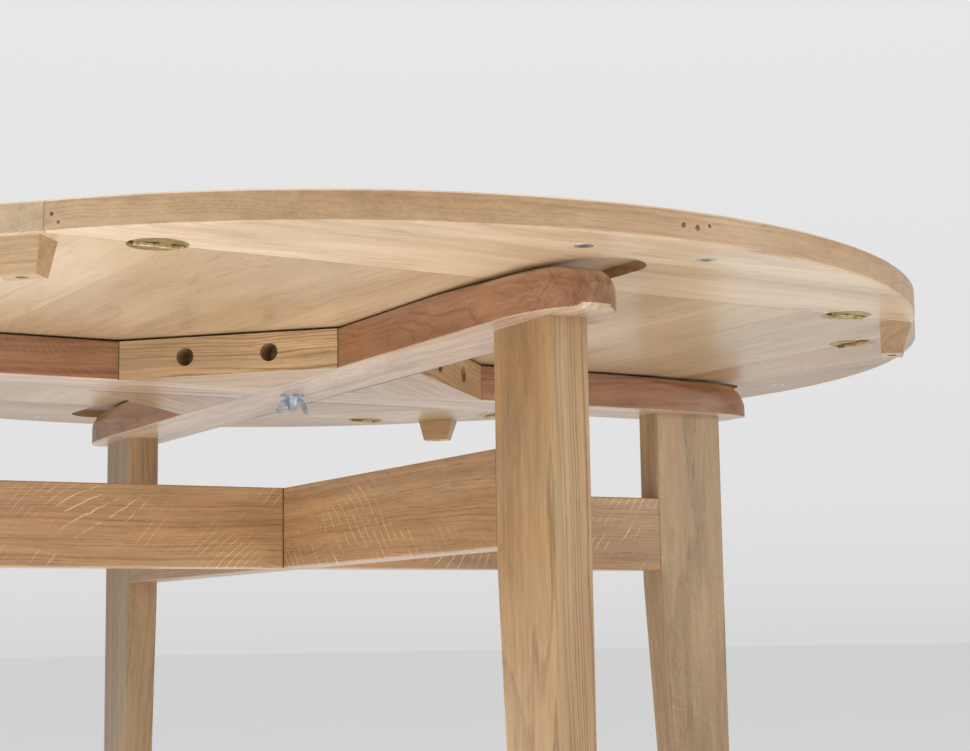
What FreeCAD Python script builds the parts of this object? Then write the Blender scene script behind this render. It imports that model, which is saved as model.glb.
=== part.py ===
"""Round drop leaf table: a square centre with four hinged segment leaves, turning on a
crossed oak frame.  All dimensions are in millimetres.

Origin: on the floor, on the pivot axis.  +Z is up.  The rails run along X and Y, and the
front leg stands at -Y.  Features that repeat are built at the front and turned about Z.
"""
import math
import os

import FreeCAD, Part
from FreeCAD import Vector

# ---- overall ------------------------------------------------------------------------
TABLE_HEIGHT = 740.0
TABLE_RADIUS = 600.0          # centre to the middle of each leaf's outer edge
TOP_THICKNESS = 22.0
TOP_TWIST = 2.3               # degrees the top stands turned from square with the rails
UNDERSIDE = TABLE_HEIGHT - TOP_THICKNESS

# ---- top outline --------------------------------------------------------------------
FOLD = 424.0                  # centre to fold line
LEAF_HALF_LENGTH = 389.0      # half the length of a leaf along its fold line
FOLD_GAP = 0.6
RIM_EASE = 1.4
BOARD_SEAMS = (-299.0, -100.0, 81.0, 262.0)
LEAF_SEAM = 531.0             # centre to the glue line inside a leaf

# ---- rails and gussets --------------------------------------------------------------
SPACER_THICKNESS = 2.0
RAIL_TOP = UNDERSIDE - SPACER_THICKNESS
RAIL_DEPTH = 34.0
RAIL_BOTTOM = RAIL_TOP - RAIL_DEPTH
RAIL_HALF_WIDTH = 39.0
RAIL_HALF_LENGTH = 527.0
RAIL_ARRIS = 1.2
RAIL_SHAPING = (              # distance from the pivot, radius of the upper arrises there
    (340.0, 1.2),
    (345.0, 1.3),
    (390.0, 5.5),
    (435.0, 11.5),
    (485.0, 16.0),
    (527.0, 19.0),
)
RAIL_SHOULDER_STATIONS = (340.0, 345.0, 390.0, 430.0, 455.0, 472.0, 485.0, 493.0, 499.0, 500.0)
RAIL_NOSE_STATIONS = (500.0, 501.0, 506.0, 511.0, 515.0, 518.0, 520.5, 522.5, 524.5, 526.4)
RAIL_NARROWING_START = 430.0  # outward from here the rail narrows in plan to a round nose
RAIL_NARROWING_POWER = 2.5
RAIL_NOSE_START = 488.0       # outward from here its top rolls over
RAIL_NOSE_POWER = 2.4
RAIL_NOSE_WAIST = 12.0        # height of the nose's tip above the rail's underside
RAIL_LOWER_NOSE = 8.0
GUSSET_LEG = 145.0
GUSSET_HOLE_OFFSET = 39.0
GUSSET_BORE_RADIUS = 8.0
GUSSET_BORE_DEPTH = 24.0
GUSSET_SCREW_RADIUS = 2.5
GUSSET_SCREW_LENGTH = 68.0
GUSSET_HEAD_RADIUS = 4.6
GUSSET_HEAD_HEIGHT = 3.4
GUSSET_SOCKET_RADIUS = 2.3

# ---- legs and stretchers ------------------------------------------------------------
LEG_OUTER = 488.0
LEG_WIDTH = 81.0
LEG_FOOT_WIDTH = 47.0
LEG_HALF_THICKNESS = 16.5
LEG_TAPER_START = UNDERSIDE - 212.0
LEG_ARRIS = 2.0
FOOT_EASE = 2.0
STRETCHER_TOP = UNDERSIDE - 125.0
STRETCHER_DEPTH = 74.0
STRETCHER_BOTTOM = STRETCHER_TOP - STRETCHER_DEPTH
STRETCHER_HALF_THICKNESS = 16.0
STRETCHER_ARRIS = 1.5
TENON_HALF_THICKNESS = 6.0
TENON_SHOULDER = 12.0
TENON_LENGTH = 32.0
DOWEL_RADIUS = 5.0
DOWEL_INSETS = (22.0, 58.0)   # from the leg's outer face
DOWEL_IN_RAIL = 20.0
DOWEL_IN_LEG = 32.0

# ---- rail studs and the dishes they stand under --------------------------------------
STUD_DISTANCE = 480.0
STUD_RADIUS = 5.0
STUD_CLEARANCE = 0.3
STUD_DEPTH = 16.0
HOLLOW_RADIUS = 34.0          # the round end of the hollow above a rail's end
HOLLOW_CENTRE = 500.0         # from the pivot to the middle of that round end
HOLLOW_DEPTH = 8.0

# ---- pivot and wing nut ---------------------------------------------------------------
BOLT_RADIUS = 3.9
BOLT_CLEARANCE = 0.6
BOLT_END = RAIL_BOTTOM - 15.0
INSERT_RADIUS = 7.0
INSERT_DEPTH = 13.0
SPACER_RADIUS = 34.0
WASHER_RADIUS = 11.0
WASHER_THICKNESS = 1.6
NUT_BORE_RADIUS = 4.2
NUT_HUB_RADIUS = 7.0
NUT_HUB_HEIGHT = 9.0
NUT_WING_THICKNESS = 2.6

# ---- round flush hinges ----------------------------------------------------------------
HINGE_POSITION = 310.0        # from the middle of the fold line
HINGE_PLACES = (-HINGE_POSITION, HINGE_POSITION)
HINGE_RADIUS = 21.0
HINGE_THICKNESS = 2.0
KNUCKLE_RADIUS = 2.5
KNUCKLE_LENGTH = 9.0
KNUCKLE_GAP = 0.3
PLATE_SETBACK = 3.2
SLOT_HALF_WIDTH = 5.6
SLOT_DEPTH = 4.0
PIN_RADIUS = 1.0
HINGE_SCREW_X = 10.5
HINGE_SCREW_Y = 12.5

# ---- discs in the leaves, corner blocks --------------------------------------------------
DISC_RADIUS = 7.3
DISC_DISTANCE = 556.0
DISC_OFFSET = 53.0
DISC_THICKNESS = 4.0
DISC_PROUD = 0.4
BLOCK_TOP_HALF_WIDTH = 21.0
BLOCK_TOP_DEPTH = 27.0
BLOCK_BOTTOM_HALF_WIDTH = 14.5
BLOCK_BOTTOM_DEPTH = 18.0
BLOCK_HEIGHT = 24.5
BLOCK_INSET = 2.0
BLOCK_BORE_RADIUS = 4.2
BLOCK_BORE_DEPTH = 9.0

FIT = 0.03                    # radial clearance between fixed pieces
SIDES = (("front", 0.0), ("right", 90.0), ("back", 180.0), ("left", 270.0))
UP = Vector(0, 0, 1)
ORIGIN = Vector(0, 0, 0)


# ---- helpers ---------------------------------------------------------------------------
def box(x0, x1, y0, y1, z0, z1):
    return Part.makeBox(x1 - x0, y1 - y0, z1 - z0, Vector(x0, y0, z0))


def rod(radius, start, end):
    """Cylinder from one point to another."""
    return Part.makeCylinder(radius, (end - start).Length, start, end - start)


def upright(radius, x, y, z0, z1):
    return rod(radius, Vector(x, y, z0), Vector(x, y, z1))


def turned(shape, degrees):
    """Copy of a shape turned about the pivot axis."""
    copy = shape.copy()
    copy.rotate(ORIGIN, UP, degrees)
    return copy


def cut_all(shape, cutters):
    for cutter in cutters:
        shape = shape.cut(cutter)
    return shape


def extruded(points, direction):
    """Prism on a closed polygon."""
    wire = Part.makePolygon(list(points) + [points[0]])
    return Part.Face(wire).extrude(direction)


def arc(start, middle, end):
    return Part.Arc(start, middle, end).toShape()


def edges_along(shape, axis, minimum_length):
    """Straight edges that run mostly along one axis."""
    found = []
    for edge in shape.Edges:
        first, last = edge.Vertexes[0].Point, edge.Vertexes[-1].Point
        span = last - first
        if edge.Length >= minimum_length and abs(span.dot(axis)) > 0.95 * edge.Length:
            found.append(edge)
    return found


def rolled(distance, start, end, power):
    """How much is left, from 1 to 0, of a size that rounds off between two distances."""
    share = max(0.0, (distance - start) / (end - start))
    return (1.0 - share ** power) ** (1.0 / power)


def shaping_radius(distance):
    """Radius of a rail's upper arrises at a distance from the pivot."""
    for (near, first), (far, second) in zip(RAIL_SHAPING, RAIL_SHAPING[1:]):
        if distance <= far:
            return first + (second - first) * max(0.0, distance - near) / (far - near)
    return RAIL_SHAPING[-1][1]


def rail_section(y):
    """Closed wire across a rail: small lower arrises, upper ones that grow towards the end."""
    distance = abs(y)
    waist = RAIL_BOTTOM + RAIL_NOSE_WAIST
    wide = RAIL_HALF_WIDTH * rolled(distance, RAIL_NARROWING_START, RAIL_HALF_LENGTH,
                                    RAIL_NARROWING_POWER)
    high = waist + (RAIL_TOP - waist) * rolled(distance, RAIL_NOSE_START, RAIL_HALF_LENGTH,
                                               RAIL_NOSE_POWER)
    low = waist - RAIL_NOSE_WAIST * rolled(distance, RAIL_HALF_LENGTH - RAIL_LOWER_NOSE,
                                           RAIL_HALF_LENGTH, 2.0)
    upper_radius = min(shaping_radius(distance), 0.9 * wide, 0.7 * (high - low))
    corners = []
    for side in (1, -1):
        for radius, level, upward in ((RAIL_ARRIS, low, 1), (upper_radius, high, -1)):
            bend = radius * (1 - math.sqrt(0.5))
            flat = Vector(side * (wide - radius), y, level)
            middle = Vector(side * (wide - bend), y, level + upward * bend)
            upright_end = Vector(side * wide, y, level + upward * radius)
            corners.append((flat, middle, upright_end))
    lower_right, upper_right, lower_left, upper_left = corners
    edges = [
        Part.makeLine(lower_left[0], lower_right[0]),
        arc(*lower_right),
        Part.makeLine(lower_right[2], upper_right[2]),
        arc(*reversed(upper_right)),
        Part.makeLine(upper_right[0], upper_left[0]),
        arc(*upper_left),
        Part.makeLine(upper_left[2], lower_left[2]),
        arc(*reversed(lower_left)),
    ]
    return Part.Wire(edges)


def slotted_screw(x, y, z_head, head_radius, shank_radius, length):
    """Countersunk screw driven upward, its head flush with z_head."""
    head_height = head_radius - shank_radius
    slot_half_width = 0.13 * head_radius
    head = Part.makeCone(head_radius, shank_radius, head_height, Vector(x, y, z_head))
    shank = upright(shank_radius, x, y, z_head + head_height, z_head + length)
    slot = box(x - head_radius, x + head_radius, y - slot_half_width, y + slot_half_width,
               z_head - 1.0, z_head + 0.3 * head_radius)
    return head.fuse(shank).cut(slot)


def screw_hole(x, y, z_head, head_radius, shank_radius, length):
    head_height = head_radius - shank_radius
    mouth = Part.makeCone(head_radius + FIT, shank_radius + FIT, head_height,
                          Vector(x, y, z_head))
    shank = upright(shank_radius + FIT, x, y, z_head + head_height - 0.001,
                    z_head + length + 0.5)
    return mouth.fuse(shank)


# ---- frame -------------------------------------------------------------------------------
def rail_blank():
    """One rail along Y, spokeshaved round towards both ends, before the joints are cut."""
    start = RAIL_SHOULDER_STATIONS[0]
    blank = Part.makeLoft([rail_section(-start), rail_section(start)], True, True)
    for sign in (-1, 1):
        for distances in (RAIL_SHOULDER_STATIONS, RAIL_NOSE_STATIONS):
            stations = [rail_section(sign * distance) for distance in distances]
            blank = blank.fuse(Part.makeLoft(stations, True, False))
    return blank.removeSplitter()


def gusset_points(sign):
    """Hypotenuse face point of one gusset screw and its driving direction."""
    middle = RAIL_HALF_WIDTH + GUSSET_LEG / 2
    step = sign * GUSSET_HOLE_OFFSET * math.sqrt(0.5)
    point = Vector(middle + step, middle - step, RAIL_BOTTOM + RAIL_DEPTH / 2)
    return point, Vector(-math.sqrt(0.5), -math.sqrt(0.5), 0)


def gusset_screw_hole(sign, extra):
    point, way = gusset_points(sign)
    seat = point + way * GUSSET_BORE_DEPTH
    return rod(GUSSET_SCREW_RADIUS + extra, seat - way * 1.0,
               seat + way * (GUSSET_SCREW_LENGTH + 1.0))


def gusset_screw(sign):
    point, way = gusset_points(sign)
    seat = point + way * GUSSET_BORE_DEPTH
    head = rod(GUSSET_HEAD_RADIUS, seat - way * GUSSET_HEAD_HEIGHT, seat)
    shank = rod(GUSSET_SCREW_RADIUS, seat, seat + way * GUSSET_SCREW_LENGTH)
    side = Vector(-way.y, way.x, 0)
    corners = [seat - way * (GUSSET_HEAD_HEIGHT + 0.1)
               + side * (GUSSET_SOCKET_RADIUS * math.cos(math.radians(60 * i)))
               + UP * (GUSSET_SOCKET_RADIUS * math.sin(math.radians(60 * i)))
               for i in range(6)]
    return head.fuse(shank).cut(extruded(corners, way * 2.2))


def gusset():
    """Corner brace in the quadrant between +X and +Y."""
    near = RAIL_HALF_WIDTH
    far = near + GUSSET_LEG
    body = extruded([Vector(near, near, RAIL_BOTTOM), Vector(far, near, RAIL_BOTTOM),
                     Vector(near, far, RAIL_BOTTOM)], Vector(0, 0, RAIL_DEPTH))
    for sign in (-1, 1):
        point, way = gusset_points(sign)
        body = body.cut(rod(GUSSET_BORE_RADIUS, point - way * 5, point + way * GUSSET_BORE_DEPTH))
        body = body.cut(gusset_screw_hole(sign, FIT))
    return body


def stud():
    """Domed peg standing in the top of a rail's front end."""
    top = UNDERSIDE - STUD_CLEARANCE
    peg = upright(STUD_RADIUS, 0, -STUD_DISTANCE, RAIL_TOP - STUD_DEPTH, top)
    crown = [edge for edge in peg.Edges if abs(edge.BoundBox.ZMin - top) < 0.01
             and abs(edge.BoundBox.ZMax - top) < 0.01]
    return peg.makeFillet(3.0, crown)


def dowels(extra):
    pegs = []
    for inset in DOWEL_INSETS:
        pegs.append(upright(DOWEL_RADIUS + extra, 0, inset - LEG_OUTER,
                            RAIL_BOTTOM - DOWEL_IN_LEG - extra,
                            RAIL_BOTTOM + DOWEL_IN_RAIL + extra))
    return pegs


def leg():
    """Front leg: a flat blade, plumb outside and tapered on its inner edge."""
    inner = LEG_WIDTH - LEG_OUTER
    profile = [
        Vector(-LEG_HALF_THICKNESS, -LEG_OUTER, 0),
        Vector(-LEG_HALF_THICKNESS, LEG_FOOT_WIDTH - LEG_OUTER, 0),
        Vector(-LEG_HALF_THICKNESS, inner, LEG_TAPER_START),
        Vector(-LEG_HALF_THICKNESS, inner, RAIL_BOTTOM),
        Vector(-LEG_HALF_THICKNESS, -LEG_OUTER, RAIL_BOTTOM),
    ]
    blade = extruded(profile, Vector(2 * LEG_HALF_THICKNESS, 0, 0))
    sole = [edge for edge in blade.Edges if edge.BoundBox.ZMax < 0.01]
    blade = blade.makeChamfer(FOOT_EASE, sole)
    blade = blade.makeFillet(LEG_ARRIS, edges_along(blade, UP, 100.0))
    mortise = box(-TENON_HALF_THICKNESS, TENON_HALF_THICKNESS, inner - TENON_LENGTH, inner + 1,
                  STRETCHER_BOTTOM + TENON_SHOULDER, STRETCHER_TOP - TENON_SHOULDER)
    return cut_all(blade, [mortise] + dowels(FIT))


def stretcher_blank():
    shoulder = LEG_OUTER - LEG_WIDTH
    bar = box(-STRETCHER_HALF_THICKNESS, STRETCHER_HALF_THICKNESS, -shoulder, shoulder,
              STRETCHER_BOTTOM, STRETCHER_TOP)
    bar = bar.makeFillet(STRETCHER_ARRIS, edges_along(bar, Vector(0, 1, 0), 500.0))
    reach = shoulder + TENON_LENGTH - 0.5
    tenon = box(-TENON_HALF_THICKNESS, TENON_HALF_THICKNESS, -reach, reach,
                STRETCHER_BOTTOM + TENON_SHOULDER, STRETCHER_TOP - TENON_SHOULDER)
    return bar.fuse(tenon).removeSplitter()


def build_frame(nodes):
    half = RAIL_HALF_WIDTH
    lap = RAIL_BOTTOM + RAIL_DEPTH / 2
    bore = upright(BOLT_RADIUS + BOLT_CLEARANCE, 0, 0, RAIL_BOTTOM - 1, RAIL_TOP + 1)
    sockets = [bore]
    for _, angle in SIDES:
        sockets += [turned(peg, angle) for peg in dowels(FIT)]
        sockets += [turned(gusset_screw_hole(sign, FIT), angle) for sign in (-1, 1)]
        sockets.append(turned(upright(STUD_RADIUS + FIT, 0, -STUD_DISTANCE,
                                      RAIL_TOP - STUD_DEPTH, RAIL_TOP + 1), angle))
    upper_notch = box(-half - 1, half + 1, -half, half, lap, RAIL_TOP + 1)
    lower_notch = box(-half, half, -half - 1, half + 1, RAIL_BOTTOM - 1, lap)
    nodes["rail_front_back"] = cut_all(rail_blank(), [upper_notch] + sockets)
    nodes["rail_left_right"] = cut_all(turned(rail_blank(), 90.0), [lower_notch] + sockets)

    half = STRETCHER_HALF_THICKNESS
    lap = (STRETCHER_TOP + STRETCHER_BOTTOM) / 2
    upper_notch = box(-half - 1, half + 1, -half, half, lap, STRETCHER_TOP + 1)
    lower_notch = box(-half, half, -half - 1, half + 1, STRETCHER_BOTTOM - 1, lap)
    nodes["stretcher_front_back"] = stretcher_blank().cut(upper_notch)
    nodes["stretcher_left_right"] = turned(stretcher_blank(), 90.0).cut(lower_notch)

    for side, angle in SIDES:
        nodes["leg_" + side] = turned(leg(), angle)
    for corner, angle in (("back_right", 0), ("back_left", 90), ("front_left", 180),
                          ("front_right", 270)):
        nodes["gusset_" + corner] = turned(gusset(), angle)
    nodes["gusset_screws"] = [turned(gusset_screw(sign), angle)
                              for _, angle in SIDES for sign in (-1, 1)]
    nodes["leg_dowels"] = [turned(peg, angle) for _, angle in SIDES for peg in dowels(0.0)]
    nodes["rail_studs"] = [turned(stud(), angle) for _, angle in SIDES]


# ---- pivot -----------------------------------------------------------------------------------
def wing_nut():
    """Hub with two flared wings, hanging below the washer."""
    top = RAIL_BOTTOM - WASHER_THICKNESS
    hub = Part.makeCone(NUT_HUB_RADIUS, NUT_HUB_RADIUS - 1.6, NUT_HUB_HEIGHT, Vector(0, 0, top),
                        Vector(0, 0, -1))
    outline = ((4.6, -1.2), (8.2, -1.6), (11.4, -4.6), (13.9, -9.4), (15.2, -14.4),
               (13.6, -16.4), (11.0, -15.4), (9.4, -11.6), (7.2, -8.9), (4.6, -8.6))
    nut = hub
    for sign in (-1, 1):
        points = [Vector(sign * x, -NUT_WING_THICKNESS / 2, top + z) for x, z in outline]
        curve = Part.BSplineCurve()
        curve.interpolate(Points=points, PeriodicFlag=True)
        face = Part.Face(Part.Wire(curve.toShape()))
        nut = nut.fuse(face.extrude(Vector(0, NUT_WING_THICKNESS, 0)))
    nut = nut.cut(upright(NUT_BORE_RADIUS, 0, 0, top - 20, top + 1))
    return turned(nut, -25.0)


def build_pivot(nodes):
    clearance_bore = upright(BOLT_RADIUS + BOLT_CLEARANCE, 0, 0, RAIL_BOTTOM - 5, UNDERSIDE + 1)
    nodes["pivot_spacer"] = upright(SPACER_RADIUS, 0, 0, RAIL_TOP, UNDERSIDE).cut(clearance_bore)
    nodes["clamp_washer"] = upright(WASHER_RADIUS, 0, 0, RAIL_BOTTOM - WASHER_THICKNESS,
                                    RAIL_BOTTOM).cut(clearance_bore)
    nodes["wing_nut"] = wing_nut()
    bolt = upright(BOLT_RADIUS, 0, 0, BOLT_END, UNDERSIDE + INSERT_DEPTH - 1.0)
    tip = [edge for edge in bolt.Edges if edge.BoundBox.ZMax < BOLT_END + 0.01]
    nodes["pivot_bolt"] = bolt.makeChamfer(0.8, tip)
    insert = upright(INSERT_RADIUS, 0, 0, UNDERSIDE, UNDERSIDE + INSERT_DEPTH)
    nodes["pivot_insert"] = insert.cut(upright(BOLT_RADIUS + FIT, 0, 0, UNDERSIDE - 1,
                                               UNDERSIDE + INSERT_DEPTH + 1))


# ---- top ---------------------------------------------------------------------------------------
def top_slab():
    """The whole top in one piece: four bowed sides joined by short corner flats."""
    a, s, r, z = LEAF_HALF_LENGTH, FOLD, TABLE_RADIUS, UNDERSIDE
    edges = []
    for _, angle in SIDES:
        bow = arc(Vector(-a, -s, z), Vector(0, -r, z), Vector(a, -s, z))
        flat = Part.makeLine(Vector(a, -s, z), Vector(s, -a, z))
        edges += [turned(bow, angle), turned(flat, angle)]
    slab = Part.Face(Part.Wire(edges)).extrude(Vector(0, 0, TOP_THICKNESS))
    level = [edge for edge in slab.Edges if edge.BoundBox.ZLength < 0.01]
    return slab.makeChamfer(RIM_EASE, level)


def hinge_zones():
    """Start and end of each knuckle along the pin, measured from the hinge's middle."""
    start = -2 * KNUCKLE_LENGTH
    for index in range(4):
        yield index, start + index * KNUCKLE_LENGTH, start + (index + 1) * KNUCKLE_LENGTH


def along_pin(radius, x, x0, x1):
    return rod(radius, Vector(x + x0, -FOLD, UNDERSIDE), Vector(x + x1, -FOLD, UNDERSIDE))


def hinge_flap(x, side):
    """One half of the hinge at the front fold: side +1 is the centre's, -1 the leaf's."""
    z0, z1 = UNDERSIDE, UNDERSIDE + HINGE_THICKNESS
    disc = upright(HINGE_RADIUS, x, -FOLD, z0, z1)
    near, far = sorted((-FOLD + side * PLATE_SETBACK, -FOLD + side * 2 * HINGE_RADIUS))
    flap = disc.common(box(x - 30, x + 30, near, far, z0 - 1, z1 + 1))
    own = 1 if side > 0 else 0
    bore = PIN_RADIUS + (FIT if side > 0 else 0.3)
    for index, start, end in hinge_zones():
        if index % 2 == own:
            x0, x1 = x + start + KNUCKLE_GAP / 2, x + end - KNUCKLE_GAP / 2
            near, far = sorted((-FOLD, -FOLD + side * (PLATE_SETBACK + 1.0)))
            flap = flap.fuse(box(x0, x1, near, far, z0, z1))
            flap = flap.fuse(along_pin(KNUCKLE_RADIUS, 0.0, x0, x1))
        else:
            near, far = sorted((-FOLD, -FOLD + side * SLOT_HALF_WIDTH))
            flap = flap.cut(box(x + start, x + end, near, far, z0 - 1, z1 + 1))
    flap = flap.cut(along_pin(bore, x, -30, 30))
    return cut_all(flap, [screw_hole(*place) for place in hinge_screws(x, side)]).removeSplitter()


def hinge_screws(x, side):
    """Arguments of the screws in one half of a hinge."""
    return [(x + offset, -FOLD + side * HINGE_SCREW_Y, UNDERSIDE, 2.7, 1.4, 14.0)
            for offset in (-HINGE_SCREW_X, HINGE_SCREW_X)]


def hinge_cutters(x):
    """Wood removed for one hinge on both sides of the front fold."""
    cutters = [upright(HINGE_RADIUS + 0.15, x, -FOLD, UNDERSIDE - 1, UNDERSIDE + HINGE_THICKNESS)]
    length = 2 * KNUCKLE_LENGTH + 0.5
    cutters.append(box(x - length, x + length, -FOLD - SLOT_HALF_WIDTH, -FOLD + SLOT_HALF_WIDTH,
                       UNDERSIDE - 1, UNDERSIDE + SLOT_DEPTH))
    for side in (-1, 1):
        cutters += [screw_hole(*place) for place in hinge_screws(x, side)]
    return cutters


def corner_block():
    """Tapered block under a corner of the centre, built at the front."""
    outer = (FOLD + LEAF_HALF_LENGTH) * math.sqrt(0.5) - BLOCK_INSET
    inner = outer - BLOCK_TOP_DEPTH
    rings = []
    for half_width, depth, z in ((BLOCK_TOP_HALF_WIDTH, BLOCK_TOP_DEPTH, UNDERSIDE),
                                 (BLOCK_BOTTOM_HALF_WIDTH, BLOCK_BOTTOM_DEPTH,
                                  UNDERSIDE - BLOCK_HEIGHT)):
        corners = [Vector(-half_width, -inner, z), Vector(half_width, -inner, z),
                   Vector(half_width, -inner - depth, z), Vector(-half_width, -inner - depth, z)]
        rings.append(Part.makePolygon(corners + [corners[0]]))
    block = Part.makeLoft(rings, True, True)
    middle = -inner - BLOCK_BOTTOM_DEPTH / 2
    bottom = UNDERSIDE - BLOCK_HEIGHT
    seat = bottom + BLOCK_BORE_DEPTH
    block = block.cut(upright(BLOCK_BORE_RADIUS, 0, middle, bottom - 1, seat))
    hole = screw_hole(0, middle, seat, 3.6, 2.0, 28.0)
    screw = slotted_screw(0, middle, seat, 3.6, 2.0, 28.0)
    return block.cut(hole), screw, hole


def build_top(nodes):
    slab = top_slab()
    edge = FOLD - FOLD_GAP / 2
    thick = (UNDERSIDE - 1, TABLE_HEIGHT + 1)
    block, block_screw, block_hole = corner_block()

    cutters = [upright(INSERT_RADIUS + FIT, 0, 0, UNDERSIDE - 1, UNDERSIDE + INSERT_DEPTH)]
    pins, flaps, screws = [], [], []
    for _, angle in SIDES:
        cutters.append(turned(block_hole, angle + 45.0))
        for x in HINGE_PLACES:
            cutters += [turned(cutter, angle) for cutter in hinge_cutters(x)]
            flaps.append(turned(hinge_flap(x, 1), angle))
            pins.append(turned(along_pin(PIN_RADIUS, x, -2 * KNUCKLE_LENGTH,
                                         2 * KNUCKLE_LENGTH), angle))
            screws += [turned(slotted_screw(*place), angle) for place in hinge_screws(x, 1)]

    seams = (-edge,) + BOARD_SEAMS + (edge,)
    for number, (x0, x1) in enumerate(zip(seams, seams[1:]), start=1):
        strip = slab.common(box(x0, x1, -edge, edge, *thick))
        touching = [cutter for cutter in cutters if cutter.BoundBox.intersect(strip.BoundBox)]
        nodes["centre_board_%d" % number] = turned(cut_all(strip, touching), TOP_TWIST)
    for corner, angle in (("front_right", 45.0), ("back_right", 135.0), ("back_left", 225.0),
                          ("front_left", 315.0)):
        nodes["corner_block_" + corner] = turned(block, angle + TOP_TWIST)
    nodes["corner_block_screws"] = [turned(block_screw, angle + 45.0 + TOP_TWIST)
                                    for _, angle in SIDES]
    nodes["hinge_flaps_centre"] = [turned(shape, TOP_TWIST) for shape in flaps]
    nodes["hinge_pins"] = [turned(shape, TOP_TWIST) for shape in pins]
    nodes["hinge_screws_centre"] = [turned(shape, TOP_TWIST) for shape in screws]


# ---- leaves ----------------------------------------------------------------------------------------
def disc_screw(x):
    return (x, -DISC_DISTANCE, UNDERSIDE - DISC_PROUD, 3.8, 1.8, 15.0)


def disc(x):
    """Round steel keeper with a countersunk middle."""
    low = UNDERSIDE - DISC_PROUD
    ring = upright(DISC_RADIUS, x, -DISC_DISTANCE, low, low + DISC_THICKNESS)
    rim = [edge for edge in ring.Edges if edge.BoundBox.ZMax < low + 0.01]
    ring = ring.makeFillet(0.35, rim)
    return ring.cut(screw_hole(*disc_screw(x)))


def build_leaf(nodes, side, angle):
    slab = top_slab()
    inner = -FOLD - FOLD_GAP / 2
    thick = (UNDERSIDE - 1, TABLE_HEIGHT + 1)
    hollow_height = (UNDERSIDE - 1, UNDERSIDE + HOLLOW_DEPTH)
    hollow = box(-HOLLOW_RADIUS, HOLLOW_RADIUS, -HOLLOW_CENTRE, inner + 1, *hollow_height)
    cutters = [hollow.fuse(upright(HOLLOW_RADIUS, 0, -HOLLOW_CENTRE, *hollow_height))]
    for x in HINGE_PLACES:
        cutters += hinge_cutters(x)
    for x in (-DISC_OFFSET, DISC_OFFSET):
        cutters.append(upright(DISC_RADIUS + FIT, x, -DISC_DISTANCE, UNDERSIDE - 1,
                               UNDERSIDE - DISC_PROUD + DISC_THICKNESS))
        cutters.append(screw_hole(*disc_screw(x)))

    turn = angle + TOP_TWIST
    for part, y0, y1 in (("inner", -LEAF_SEAM, inner), ("outer", -TABLE_RADIUS - 1, -LEAF_SEAM)):
        strip = slab.common(box(-TABLE_RADIUS, TABLE_RADIUS, y0, y1, *thick))
        touching = [cutter for cutter in cutters if cutter.BoundBox.intersect(strip.BoundBox)]
        nodes["leaf_%s_%s_board" % (side, part)] = turned(cut_all(strip, touching), turn)
    nodes["leaf_%s_hinge_flaps" % side] = [turned(hinge_flap(x, -1), turn) for x in HINGE_PLACES]
    nodes["leaf_%s_discs" % side] = [turned(disc(x), turn) for x in (-DISC_OFFSET, DISC_OFFSET)]
    screws = [slotted_screw(*place) for x in HINGE_PLACES for place in hinge_screws(x, -1)]
    screws += [slotted_screw(*disc_screw(x)) for x in (-DISC_OFFSET, DISC_OFFSET)]
    nodes["leaf_%s_screws" % side] = [turned(shape, turn) for shape in screws]


# ---- build and write ---------------------------------------------------------------------------------
def main():
    nodes = {}
    build_frame(nodes)
    build_pivot(nodes)
    build_top(nodes)
    for side, angle in SIDES:
        build_leaf(nodes, side, angle)

    os.makedirs("parts", exist_ok=True)
    for name, shape in nodes.items():
        if isinstance(shape, list):
            shape = Part.makeCompound(shape)
        shape.exportStep(os.path.join("parts", name + ".step"))


main()
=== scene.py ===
import math

import bpy
from mathutils import Matrix, Vector

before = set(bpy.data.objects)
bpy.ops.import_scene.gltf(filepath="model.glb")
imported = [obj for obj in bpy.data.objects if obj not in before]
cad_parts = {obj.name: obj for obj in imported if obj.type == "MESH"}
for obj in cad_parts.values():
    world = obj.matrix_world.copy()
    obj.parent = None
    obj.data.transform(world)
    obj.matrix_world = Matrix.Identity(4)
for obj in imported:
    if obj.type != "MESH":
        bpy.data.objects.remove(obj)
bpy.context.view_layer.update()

# ---- the table ------------------------------------------------------------------------------
UNDERSIDE = 0.718              # height of the top's lower face
TWIST = math.radians(2.3)      # the top stands turned this far from square with the rails
RAIL_HALF_WIDTH = 0.039
STRETCHER_HALF_THICKNESS = 0.016
SIDES = {"front": 0.0, "right": 90.0, "back": 180.0, "left": 270.0}
CORNERS = {"front_right": 45.0, "back_right": 135.0, "back_left": 225.0, "front_left": 315.0}

# the grain's own axis first, then the two across it
ORDERS = {"X": (0, 1, 2), "Y": (1, 0, 2), "Z": (2, 0, 1)}

# pin knots on the front leaf's edge: x, y, z at the front of the table, and radius
FRONT_KNOTS = (
    (-0.001, -0.600, 0.729, 0.0028),
    (0.011, -0.600, 0.7285, 0.0032),
    (0.022, -0.600, 0.731, 0.0024),
    (-0.385, -0.428, 0.730, 0.0022),
    (-0.381, -0.431, 0.7245, 0.0024),
)


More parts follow.
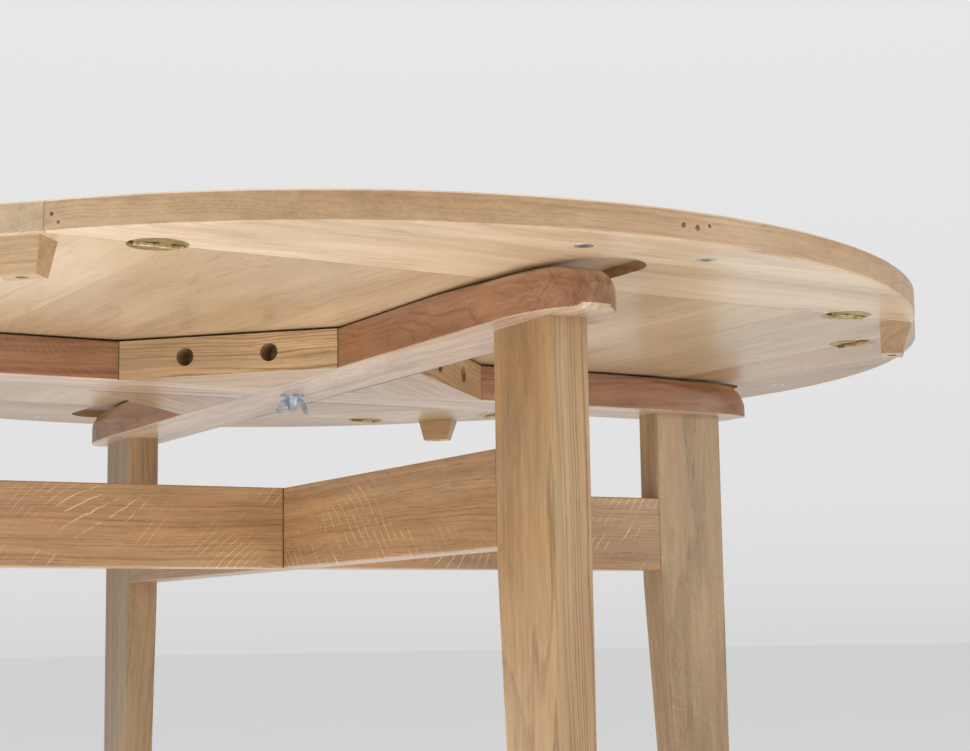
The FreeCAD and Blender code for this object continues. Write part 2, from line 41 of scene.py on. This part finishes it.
# ---- node wiring ----------------------------------------------------------------------------
class Graph:
    """Short calls for wiring one material."""

    def __init__(self, name):
        self.material = bpy.data.materials.new(name)
        self.material.use_nodes = True
        self.tree = self.material.node_tree
        self.shader = self.tree.nodes["Principled BSDF"]

    def put(self, socket, value):
        """Link a socket to another, or set its value."""
        if isinstance(value, bpy.types.NodeSocket):
            self.tree.links.new(value, socket)
        elif value is not None:
            socket.default_value = value

    def shade(self, **inputs):
        """Set inputs of the shader by name, with _ for each space."""
        for key, value in inputs.items():
            self.put(self.shader.inputs[key.replace("_", " ")], value)

    def node(self, kind, inputs=None, **settings):
        made = self.tree.nodes.new("ShaderNode" + kind)
        for key, value in settings.items():
            setattr(made, key, value)
        for key, value in (inputs or {}).items():
            self.put(made.inputs[key], value)
        return made

    def coordinates(self, kind="Object"):
        return self.node("TexCoord").outputs[kind]

    def math(self, operation, *values):
        made = self.node("Math", operation=operation)
        for socket, value in zip(made.inputs, values):
            self.put(socket, value)
        return made.outputs[0]

    def centred(self, value):
        """A 0 to 1 value moved to lie either side of zero."""
        return self.math("SUBTRACT", value, 0.5)

    def noise(self, vector, scale=1.0, detail=2.0, roughness=0.5):
        made = self.node("TexNoise", {"Vector": vector, "Scale": scale, "Detail": detail,
                                      "Roughness": roughness})
        return made.outputs["Fac"]

    def grain_noise(self, vector, scales, detail=2.0, roughness=0.5):
        """Noise with one scale along the grain and another across it."""
        along, across = scales
        return self.noise(self.times(vector, (along, across, across)), 1.0, detail, roughness)

    def times(self, vector, factors):
        made = self.node("VectorMath", {0: vector, 1: factors}, operation="MULTIPLY")
        return made.outputs[0]

    def split(self, vector):
        return self.node("SeparateXYZ", {0: vector}).outputs

    def combine(self, x, y, z):
        return self.node("CombineXYZ", {0: x, 1: y, 2: z}).outputs[0]

    def turned(self, vector, yaw):
        made = self.node("Mapping", {"Vector": vector, "Rotation": (0, 0, -yaw)})
        return made.outputs[0]

    def between(self, value, low, high, to_low=0.0, to_high=1.0):
        """Smooth step of a value from one range to another."""
        made = self.node("MapRange", {"Value": value, "From Min": low, "From Max": high,
                                      "To Min": to_low, "To Max": to_high},
                         interpolation_type="SMOOTHSTEP")
        return made.outputs["Result"]

    def blend(self, amount, first, second):
        made = self.node("Mix", data_type="RGBA", blend_type="MIX", clamp_factor=True)
        for key, value in zip((0, 6, 7), (amount, first, second)):
            self.put(made.inputs[key], value)
        return made.outputs[2]

    def bump(self, height, distance, strength):
        made = self.node("Bump", {"Height": height, "Distance": distance,
                                  "Strength": strength})
        self.shade(Normal=made.outputs[0])


def srgb(red, green, blue):
    """A colour given in 0-255 display values, in linear light."""
    def linear(value):
        value /= 255.0
        return value / 12.92 if value <= 0.04045 else ((value + 0.055) / 1.055) ** 2.4
    return linear(red), linear(green), linear(blue), 1.0


# ---- oak: colours ---------------------------------------------------------------------------
# light, middle and dark colour of each kind of board
PALETTES = {
    "board": (srgb(228, 201, 163), srgb(202, 164, 120), srgb(146, 106, 68)),
    "leaf": (srgb(194, 160, 122), srgb(168, 128, 90), srgb(118, 84, 54)),
    "pale_leaf": (srgb(240, 216, 182), srgb(218, 184, 144), srgb(158, 118, 80)),
    "leg": (srgb(204, 170, 124), srgb(180, 138, 93), srgb(118, 84, 50)),
    "pale_leg": (srgb(186, 156, 114), srgb(160, 128, 88), srgb(108, 80, 50)),
    "rail": (srgb(228, 202, 174), srgb(208, 174, 144), srgb(160, 120, 94)),
    "stretcher": (srgb(201, 162, 117), srgb(172, 129, 87), srgb(114, 78, 47)),
    "gusset": (srgb(222, 190, 146), srgb(198, 158, 112), srgb(138, 98, 62)),
    "peg": (srgb(222, 176, 138), srgb(204, 156, 116), srgb(168, 118, 84)),
}
FLECK = srgb(244, 220, 184)
OLIVE = srgb(176, 150, 112)
ROSE = srgb(192, 140, 104)
KNOT = srgb(112, 76, 48)
SEAM = srgb(58, 38, 26)

# painted shade: factors that darken an upright face's colour against a level face's, as if the
# upright faces stood in shade
LEAF_UPRIGHT_SHADE = (0.80, 0.69, 0.58)
RAIL_UPRIGHT_SHADE = (0.58, 0.395, 0.285)

# how the grain shows on each kind of piece, and on the rails the painted shade of upright
# faces; oak() says what each word means
BOARD_GRAIN = dict(ring=0.0042, figure=1.3, rays=0.12, depth=0.62)
LEAF_GRAIN = dict(ring=0.0042, figure=1.2, rays=0.35, depth=0.75)
LEG_GRAIN = dict(ring=0.0038, figure=0.5, rays=0.12, depth=1.1)
RAIL_GRAIN = dict(ring=0.0036, figure=1.6, rays=0.45, ray_gap=0.0075, ray_cover=0.42,
                  depth=1.7, sides=RAIL_UPRIGHT_SHADE)
STRETCHER_GRAIN = dict(ring=0.0032, figure=1.1, rays=0.75, ray_lean=-0.9, depth=1.3)
GUSSET_GRAIN = dict(ring=0.0032, figure=0.6, lines=0.60, depth=1.3)
BLOCK_GRAIN = dict(ring=0.0034, figure=0.7, rays=0.08)
PEG_GRAIN = dict(figure=0.3, rays=0.1, depth=0.6)

# ---- oak: patterns --------------------------------------------------------------------------
SEED_STEPS = (7.31, 1.7, 0.9)   # how far one unit of seed moves the patterns, in metres

# noise scales in cycles per metre, along the grain and across it
WANDER, RIPPLE = (2.4, 8.0), (7.0, 34.0)
LEAN, WAVER = (3.0, 6.0), (26.0, 60.0)
FIBRE, STREAK, DASH = (24.0, 430.0), (9.0, 105.0), (62.0, 640.0)
GRIP, DRIFT, HUE = (3.0, 16.0), (1.8, 9.0), (2.6, 26.0)
RAY_BEND, RAY_PATCH, RAY_BREAK = (5.0, 7.0), (7.0, 15.0), (34.0, 60.0)
RAY_JITTER, KNOT_EDGE = 150.0, 420.0

# how far those noises move the pattern, in metres
WANDER_REACH, RIPPLE_REACH = 0.036, 0.011
LEAN_REACH, WAVER_REACH = 0.030, 0.0035
RAY_BEND_REACH, RAY_JITTER_REACH = 0.16, 0.0035

RING_SLOPE = 0.03               # how much nearer the rings come in a metre along the board
RING_UNEVENNESS = 7.5           # rings by which a noise shifts the even count
SEAM_WIDTH = 0.0011
COAT_WEIGHT, COAT_ROUGHNESS = 0.4, 0.26
GRAIN_HEIGHT, GRAIN_RELIEF = 0.0003, 0.5


def pith_distance(g, axes, place, pith, figure):
    """Distance from the tree's centre, with the wander of real rings."""
    along, across, through = axes
    slow = g.centred(g.grain_noise(place, WANDER, 3.0))
    quick = g.centred(g.grain_noise(place, RIPPLE, 3.0))
    sway = g.math("MULTIPLY_ADD", quick, RIPPLE_REACH * figure,
                  g.math("MULTIPLY", slow, WANDER_REACH * figure))
    across = g.math("ADD", g.math("SUBTRACT", across, pith[0]), sway)
    across = g.math("MULTIPLY_ADD", along, RING_SLOPE * figure, across)
    through = g.math("ADD", g.math("SUBTRACT", through, pith[1]),
                     g.math("MULTIPLY", sway, 0.7))
    return g.math("SQRT", g.math("ADD", g.math("MULTIPLY", across, across),
                                 g.math("MULTIPLY", through, through)))


def year_rings(g, radius, along, seed, ring):
    """Rings of uneven width: a porous line, then wood that slowly deepens, and broad bands."""
    widths = g.noise(g.combine(g.math("MULTIPLY", radius, 55.0), seed, 0.0))
    year = g.math("FRACT", g.math("MULTIPLY_ADD", widths, RING_UNEVENNESS,
                                  g.math("DIVIDE", radius, ring)))
    clarity = g.noise(g.combine(g.math("MULTIPLY", radius, 120.0),
                                g.math("MULTIPLY", along, 2.2), seed))
    early = g.math("MULTIPLY", g.between(year, 0.0, 0.12), g.between(year, 0.55, 0.12))
    early = g.math("MULTIPLY", early, g.between(clarity, 0.34, 0.62, 0.15, 1.0))
    late = g.between(year, 0.40, 1.0)
    band = g.noise(g.combine(g.math("MULTIPLY", radius, 78.0), seed + 4.0,
                             g.math("MULTIPLY", along, 1.1)), 1.0, 3.0, 0.6)
    return early, late, band


def fibre_lean(g, place, figure):
    """How far the fibres stray off straight."""
    slow = g.math("MULTIPLY", g.centred(g.grain_noise(place, LEAN)), LEAN_REACH * figure)
    return g.math("MULTIPLY_ADD", g.centred(g.grain_noise(place, WAVER)), WAVER_REACH, slow)


def ray_lines(g, axes, place, lean, gap, cover):
    """Medullary rays: thin lines that sweep across the grain in loose families."""
    along, across, through = axes
    sweep = g.math("MULTIPLY_ADD", g.math("ADD", across, through), lean, along)
    sweep = g.math("MULTIPLY_ADD", g.grain_noise(place, RAY_BEND, 1.0), RAY_BEND_REACH, sweep)
    sweep = g.math("MULTIPLY_ADD", g.noise(place, RAY_JITTER), RAY_JITTER_REACH, sweep)
    turns = g.math("FRACT", g.math("DIVIDE", sweep, gap))
    line = g.between(g.math("ABSOLUTE", g.centred(turns)), 0.07, 0.02)
    patch = g.between(g.grain_noise(place, RAY_PATCH), cover, cover + 0.14)
    broken = g.between(g.grain_noise(place, RAY_BREAK), cover - 0.08, cover + 0.12)
    return g.math("MULTIPLY", g.math("MULTIPLY", line, patch), broken)


def add_knots(g, colour, place, knots, rim):
    """Dark specks, each with a paler rim."""
    for spot, size in knots:
        gap = g.node("VectorMath", {0: g.coordinates(), 1: spot}, operation="DISTANCE")
        ragged = g.math("MULTIPLY_ADD", g.noise(place, KNOT_EDGE), size, gap.outputs["Value"])
        colour = g.blend(g.between(ragged, 2.6 * size, 0.9 * size, 0.0, 0.5), colour, rim)
        colour = g.blend(g.between(ragged, 1.35 * size, 1.0 * size), colour, KNOT)
    return colour


def add_seams(g, colour, seams):
    """Thin dark lines where the piece meets its neighbours."""
    for axis, distance in seams:
        place = g.split(g.coordinates())[axis]
        off = g.math("ABSOLUTE", g.math("SUBTRACT", g.math("ABSOLUTE", place), distance))
        colour = g.blend(g.between(off, SEAM_WIDTH, 0.5 * SEAM_WIDTH, 0.0, 0.85), colour, SEAM)
    return colour


def oak(name, along, pith, palette, seed, yaw=0.0, tone=1.0, ring=0.0034, figure=1.0,
        depth=1.0, lines=0.30, rays=0.3, ray_lean=0.9, ray_gap=0.0115, ray_cover=0.46,
        sides=None, knots=(), seams=()):
    """Solid oak: rings round a pith, rays, pores and slow colour drift, all in 3-D.

    along: axis of the grain; pith: where the tree's centre is, on the two axes across the
    grain; seed: shifts every pattern; yaw: turn of the board about Z; tone: lightness factor;
    ring: width of a yearly ring; figure: how far rings and fibres wander; depth: how strongly
    the grain shows; lines: how dark the yearly rings are; rays: how strong the rays are;
    ray_lean: how far they lean along the grain; ray_gap: distance between them; ray_cover:
    noise level above which they show; sides: colour factors of painted shade on
    upright faces; knots: places and radii of pin knots; seams: axes and distances from the
    middle plane of joint lines.
    """
    g = Graph(name)
    light, middle, dark = PALETTES[palette]
    board = g.split(g.turned(g.coordinates(), yaw))
    axes = [board[index] for index in ORDERS[along]]
    x, y, z = (g.math("ADD", axis, seed * step) for axis, step in zip(axes, SEED_STEPS))
    place = g.combine(x, y, z)

    radius = pith_distance(g, axes, place, pith, figure)
    early, late, band = year_rings(g, radius, axes[0], seed, ring)
    ray = ray_lines(g, axes, place, ray_lean, ray_gap, ray_cover)

    lean = fibre_lean(g, place, figure)
    fibres = g.combine(x, g.math("ADD", y, lean), g.math("ADD", z, lean))
    fibre = g.grain_noise(fibres, FIBRE, 4.0, 0.65)
    streak = g.grain_noise(fibres, STREAK, 3.0, 0.6)
    hue = g.grain_noise(fibres, HUE, 3.0, 0.6)
    dash = g.grain_noise(fibres, DASH, 3.0, 0.6)
    drift = g.grain_noise(place, DRIFT)
    grip = g.between(g.grain_noise(place, GRIP), 0.36, 0.64, 0.35, 1.25)
    pores = g.math("MULTIPLY", g.between(dash, 0.53, 0.68),
                   g.math("MULTIPLY_ADD", early, 0.65, 0.35))

    # the ends of the fibres drink more finish and turn darker
    facing = g.split(g.turned(g.coordinates("Normal"), yaw))[ORDERS[along][0]]
    end_grain = g.between(g.math("ABSOLUTE", facing), 0.55, 0.95)

    # colour: a drift from light to middle, broad stains by noise level, then the fine marks
    colour = g.blend(g.between(drift, 0.30, 0.74, 0.0, 0.75), light, middle)
    for pattern, start, full, strength, stain in (
            (hue, 0.50, 0.72, 0.50, OLIVE), (hue, 0.46, 0.30, 0.40, ROSE),
            (band, 0.42, 0.70, 0.55, middle), (band, 0.58, 0.78, 0.38, dark)):
        colour = g.blend(g.between(pattern, start, full, 0.0, strength * depth), colour, stain)
    for pattern, strength, stain in (
            (late, 0.16 * depth, middle), (early, lines * depth, dark),
            (pores, 0.42 * depth, dark), (ray, rays, FLECK)):
        colour = g.blend(g.math("MULTIPLY", pattern, strength), colour, stain)
    # painted shade: upright faces are darkened against level ones, standing in for the shade
    # they lie in
    if sides:
        level = g.math("ABSOLUTE", g.split(g.coordinates("Normal"))[2])
        colour = g.blend(g.between(level, 0.4, 0.9), g.times(colour, sides), colour)
    colour = add_knots(g, colour, place, knots, middle)
    colour = add_seams(g, colour, seams)

    # lightness: fine threads, streaks, the same slow drift, and the end grain
    threads = g.math("MULTIPLY", g.centred(fibre), grip)
    value = g.math("MULTIPLY_ADD", threads, 0.55 * depth, tone)
    value = g.math("MULTIPLY_ADD", g.centred(streak), 0.60 * depth, value)
    value = g.math("MULTIPLY_ADD", g.centred(drift), -0.45, value)
    value = g.math("MULTIPLY", value, g.math("MULTIPLY_ADD", end_grain, -0.16, 1.0))

    gloss = g.math("MULTIPLY_ADD", pores, 0.2, g.math("MULTIPLY_ADD", fibre, 0.14, 0.27))
    gloss = g.math("MULTIPLY_ADD", end_grain, 0.12, gloss)
    g.shade(Base_Color=g.times(colour, g.combine(value, value, value)), Roughness=gloss,
            Specular_IOR_Level=0.5, Coat_Weight=COAT_WEIGHT, Coat_Roughness=COAT_ROUGHNESS)
    height = g.math("MULTIPLY_ADD", pores, -0.8, g.math("MULTIPLY", fibre, 0.35))
    height = g.math("MULTIPLY_ADD", early, -0.2, height)
    g.bump(height, GRAIN_HEIGHT, GRAIN_RELIEF)
    return g.material


# ---- metals and the bearing disc ------------------------------------------------------------
PATCH_SCALE, GRIT_SCALE, SCRATCH_SCALES = 140.0, 3080.0, (210.0, 1960.0)
METAL_HEIGHT, METAL_RELIEF = 0.00006, 0.5
FLECK_SCALE, CLOUD_SCALE = 2600.0, 90.0
SHEET_HEIGHT, SHEET_RELIEF = 0.0001, 0.6


def metal(name, bright, dull, roughness, tarnish):
    """Bare or plated metal with fine scratches and patchy tarnish."""
    g = Graph(name)
    place = g.coordinates()
    patches = g.noise(place, PATCH_SCALE, 4.0, 0.6)
    grit = g.noise(place, GRIT_SCALE)
    scratches = g.grain_noise(place, SCRATCH_SCALES)
    amount = g.math("MULTIPLY", g.between(patches, 0.38, 0.72), tarnish)
    rough = g.math("MULTIPLY_ADD", patches, 0.28,
                   g.math("MULTIPLY_ADD", grit, 0.12, roughness))
    g.shade(Base_Color=g.blend(amount, bright, dull), Metallic=1.0, Roughness=rough)
    g.bump(g.math("MULTIPLY_ADD", scratches, 0.6, grit), METAL_HEIGHT, METAL_RELIEF)
    return g.material


def fibre_sheet(name, colour, speck):
    """Dense dark fibre sheet."""
    g = Graph(name)
    place = g.coordinates()
    specks = g.noise(place, FLECK_SCALE, 3.0, 0.6)
    cloud = g.noise(place, CLOUD_SCALE, 3.0)
    mixed = g.math("MULTIPLY", g.between(specks, 0.45, 0.7),
                   g.between(cloud, 0.2, 0.8, 0.3, 1.0))
    g.shade(Base_Color=g.blend(mixed, colour, speck),
            Roughness=g.math("MULTIPLY_ADD", specks, 0.25, 0.6))
    g.bump(specks, SHEET_HEIGHT, SHEET_RELIEF)
    return g.material


# ---- the pieces -----------------------------------------------------------------------------
# five centre boards: middle of the board in x, pith's height over the underside, tone
CENTRE_BOARDS = ((-0.36, -0.30, 1.00), (-0.20, 0.42, 0.96), (-0.02, -0.36, 1.01),
                 (0.17, 0.33, 0.90), (0.34, -0.40, 0.82))
# two boards in a leaf: middle of the board in y at the front, pith's height, tone
LEAF_BOARDS = (("inner", -0.46, -0.26, 1.01), ("outer", -0.58, 0.34, 0.98))
# legs: pith, palette, darkness of the yearly rings
LEGS = {"front": ((0.26, -0.44), "leg", 0.62), "right": ((0.44, 0.30), "pale_leg", 0.30),
        "back": ((0.33, 0.75), "pale_leg", 0.30), "left": ((-0.75, 0.30), "leg", 0.40)}
# rails and stretchers: grain axis, pith, seed
RAILS = {"rail_front_back": ("Y", (0.16, 0.62), 31.0),
         "rail_left_right": ("X", (-0.14, 0.80), 33.5)}
STRETCHERS = {"stretcher_front_back": ("Y", (0.02, 1.05), 41.0),
              "stretcher_left_right": ("X", (-0.03, 1.02), 43.5)}
PEGS = {"leg_dowels": 71.0, "rail_studs": 73.0}
PITH_OFFSET = 0.05              # from a centre board's middle to the pith
GUSSET_PITH, BLOCK_PITH, PEG_PITH = (-0.25, 0.60), (-0.60, 0.62), (0.2, 0.3)


def dress(node, material):
    """Give one CAD node its material."""
    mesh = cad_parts[node].data
    mesh.materials.clear()
    mesh.materials.append(material)


def dress_oak(node, along, pith, palette, seed, **grain):
    dress(node, oak(node, along, pith, palette, seed, **grain))


def on_side(x, y, z, degrees):
    """A point of one side, given at the front of the table, turned to its own side."""
    angle = math.radians(degrees) + TWIST
    return (x * math.cos(angle) - y * math.sin(angle),
            x * math.sin(angle) + y * math.cos(angle), z)


def dress_top():
    for number, (centre, rise, tone) in enumerate(CENTRE_BOARDS, start=1):
        dress_oak("centre_board_%d" % number, "Y", (centre + PITH_OFFSET, UNDERSIDE + rise),
                  "board", 1.3 * number, yaw=TWIST, tone=tone, **BOARD_GRAIN)
    for index, (side, degrees) in enumerate(SIDES.items()):
        palette, sides, knots = "leaf", None, ()
        if side == "front":
            # the front leaf's upright faces get painted shade
            palette, sides = "pale_leaf", LEAF_UPRIGHT_SHADE
            knots = [(on_side(x, y, z, degrees), size) for x, y, z, size in FRONT_KNOTS]
        for part, centre, rise, tone in LEAF_BOARDS:
            dress_oak("leaf_%s_%s_board" % (side, part), "X", (centre, UNDERSIDE + rise),
                      palette, 11.0 + 2.7 * index + centre, yaw=TWIST + math.radians(degrees),
                      tone=tone, sides=sides, knots=knots, **LEAF_GRAIN)
    for index, (corner, degrees) in enumerate(CORNERS.items()):
        dress_oak("corner_block_" + corner, "X", BLOCK_PITH, "gusset", 61.0 + index,
                  yaw=math.radians(degrees) + TWIST, **BLOCK_GRAIN)


def dress_frame():
    for index, (side, (pith, palette, lines)) in enumerate(LEGS.items()):
        dress_oak("leg_" + side, "Z", pith, palette, 23.0 + 1.9 * index, lines=lines,
                  **LEG_GRAIN)
    for node, (along, pith, seed) in RAILS.items():
        dress_oak(node, along, pith, "rail", seed, **RAIL_GRAIN)
    for node, (along, pith, seed) in STRETCHERS.items():
        crossing = (ORDERS[along][0], STRETCHER_HALF_THICKNESS)
        dress_oak(node, along, pith, "stretcher", seed, seams=(crossing,), **STRETCHER_GRAIN)
    rail_faces = ((0, RAIL_HALF_WIDTH), (1, RAIL_HALF_WIDTH))
    for index, (corner, degrees) in enumerate(CORNERS.items()):
        dress_oak("gusset_" + corner, "X", GUSSET_PITH, "gusset", 51.0 + index,
                  yaw=math.radians(degrees), seams=rail_faces, **GUSSET_GRAIN)
    for node, seed in PEGS.items():
        dress_oak(node, "Z", PEG_PITH, "peg", seed, **PEG_GRAIN)


def dress_hardware():
    brass = metal("brass", srgb(206, 182, 132), srgb(116, 94, 58), 0.22, 0.85)
    zinc = metal("zinc", srgb(204, 214, 224), srgb(120, 128, 138), 0.2, 0.7)
    nickel = metal("nickel", srgb(226, 226, 224), srgb(120, 120, 124), 0.2, 0.4)
    steel = metal("screw_steel", srgb(176, 166, 140), srgb(86, 78, 62), 0.3, 0.6)
    for node in ("hinge_flaps_centre", "hinge_pins", "hinge_screws_centre"):
        dress(node, brass)
    for node in ("clamp_washer", "wing_nut", "pivot_bolt", "pivot_insert"):
        dress(node, zinc)
    for node in ("gusset_screws", "corner_block_screws"):
        dress(node, steel)
    for side in SIDES:
        dress("leaf_%s_hinge_flaps" % side, brass)
        dress("leaf_%s_discs" % side, nickel)
        dress("leaf_%s_screws" % side, steel)
    dress("pivot_spacer", fibre_sheet("fibre_disc", srgb(34, 32, 30), srgb(64, 60, 54)))


# ---- stage ----------------------------------------------------------------------------------
FLOOR_RADIUS, FLOOR_RINGS, FLOOR_SPOKES = 60.0, 6, 96
FLOOR_DARK, FLOOR_LIGHT = (0.88, 0.88, 0.88, 1), (0.91, 0.91, 0.91, 1)

# grey levels from the horizon, 0, to straight up, 1: what the camera sees, and what lights
BACKDROP_STOPS = ((0.0, 0.685), (0.02, 0.715), (0.07, 0.755), (0.30, 0.80), (1.0, 0.86))
LIGHTING_STOPS = ((0.0, 0.34), (0.30, 0.52), (1.0, 0.90))

WHITE = (1.0, 1.0, 1.0)
COOL = (0.94, 1.0, 1.06)
WARM = (1.0, 0.96, 0.90)

# round lamps: name, place, point aimed at, diameter, watts, colour
LAMPS = (
    ("right_fill", (3.3, -3.0, 1.0), (0.2, 0.0, 0.7), 1.6, 18.0, WARM),
    ("front_fill", (1.2, -3.6, 0.9), (0.0, 0.0, 0.6), 1.6, 4.0, WARM),
    ("left_fill", (-4.0, -1.6, 1.3), (0.0, 0.0, 0.6), 2.0, 6.5, WHITE),
    ("overhead", (0.0, 0.0, 3.2), (0.0, 0.0, 0.6), 3.0, 28.0, WHITE),
    ("floor_bounce_left", (-0.85, -0.85, 0.005), (-0.85, -0.85, 0.7), 0.8, 2.4, COOL),
    ("floor_bounce_middle", (-0.25, -0.25, 0.005), (-0.25, -0.25, 0.7), 0.7, 2.5, COOL),
)

EYE = (-0.7221, -1.6189, 0.4542)
HEADING, PITCH, ROLL = 0.5227, 0.1375, -0.0155      # radians; heading turns from +Y to +X
SENSOR_WIDTH, FOCAL_LENGTH = 36.0, 69.85            # millimetres
VIEW_DISTANCE = 200.0


def add_floor():
    """A wide round floor whose faces grow outwards from the table."""
    points, faces = [(0.0, 0.0, 0.0)], []
    for ring in range(1, FLOOR_RINGS + 1):
        reach = FLOOR_RADIUS * (ring / FLOOR_RINGS) ** 2
        for spoke in range(FLOOR_SPOKES):
            angle = 2 * math.pi * spoke / FLOOR_SPOKES
            points.append((reach * math.cos(angle), reach * math.sin(angle), 0.0))
    for spoke in range(FLOOR_SPOKES):
        after = (spoke + 1) % FLOOR_SPOKES
        faces.append((0, 1 + spoke, 1 + after))
        for ring in range(FLOOR_RINGS - 1):
            low = 1 + ring * FLOOR_SPOKES
            high = low + FLOOR_SPOKES
            faces.append((low + spoke, high + spoke, high + after, low + after))
    mesh = bpy.data.meshes.new("floor")
    mesh.from_pydata(points, [], faces)
    floor = bpy.data.objects.new("floor", mesh)
    bpy.context.scene.collection.objects.link(floor)
    g = Graph("floor")
    cloud = g.noise(g.coordinates(), 3.0, 3.0)
    g.shade(Base_Color=g.blend(cloud, FLOOR_DARK, FLOOR_LIGHT), Roughness=0.75,
            Specular_IOR_Level=0.1)
    mesh.materials.append(g.material)


def sky_ramp(tree, height, stops):
    """Grey levels by height above the horizon."""
    ramp = tree.nodes.new("ShaderNodeValToRGB")
    elements = ramp.color_ramp.elements
    for position, level in stops:
        if position == 0.0:
            stop = elements[0]
        elif position == 1.0:
            stop = elements[-1]
        else:
            stop = elements.new(position)
        stop.color = (level, level, level, 1.0)
    tree.links.new(height, ramp.inputs[0])
    return ramp.outputs[0]


def add_sky():
    """Pale studio surround: an even backdrop to look at, and light mostly from overhead."""
    world = bpy.data.worlds.new("studio")
    world.use_nodes = True
    tree = world.node_tree
    coords = tree.nodes.new("ShaderNodeTexCoord")
    split = tree.nodes.new("ShaderNodeSeparateXYZ")
    tree.links.new(coords.outputs["Generated"], split.inputs[0])
    backdrop = sky_ramp(tree, split.outputs["Z"], BACKDROP_STOPS)
    lighting = sky_ramp(tree, split.outputs["Z"], LIGHTING_STOPS)
    seen = tree.nodes.new("ShaderNodeLightPath").outputs["Is Camera Ray"]
    mixed = tree.nodes.new("ShaderNodeMix")
    mixed.data_type = "RGBA"
    for key, value in ((0, seen), (6, lighting), (7, backdrop)):
        tree.links.new(value, mixed.inputs[key])
    tree.links.new(mixed.outputs[2], tree.nodes["Background"].inputs[0])
    bpy.context.scene.world = world


def add_lamp(name, place, target, diameter, watts, colour):
    data = bpy.data.lights.new(name, "AREA")
    data.shape = "DISK"
    data.size = diameter
    data.energy = watts
    data.color = colour
    lamp = bpy.data.objects.new(name, data)
    lamp.location = place
    aim = Vector(target) - Vector(place)
    lamp.rotation_euler = aim.to_track_quat("-Z", "Y").to_euler()
    lamp.visible_camera = False
    bpy.context.scene.collection.objects.link(lamp)


def add_camera():
    """Eye level below the rim, close in, tilted slightly up."""
    data = bpy.data.cameras.new("camera")
    data.sensor_width = SENSOR_WIDTH
    data.lens = FOCAL_LENGTH
    data.clip_end = VIEW_DISTANCE
    camera = bpy.data.objects.new("camera", data)
    camera.matrix_world = (Matrix.Translation(EYE) @ Matrix.Rotation(-HEADING, 4, "Z")
                           @ Matrix.Rotation(math.pi / 2 + PITCH, 4, "X")
                           @ Matrix.Rotation(ROLL, 4, "Z"))
    bpy.context.scene.collection.objects.link(camera)
    bpy.context.scene.camera = camera


dress_top()
dress_frame()
dress_hardware()
add_floor()
add_sky()
for lamp in LAMPS:
    add_lamp(*lamp)
add_camera()
bpy.context.scene.view_settings.view_transform = "Standard"
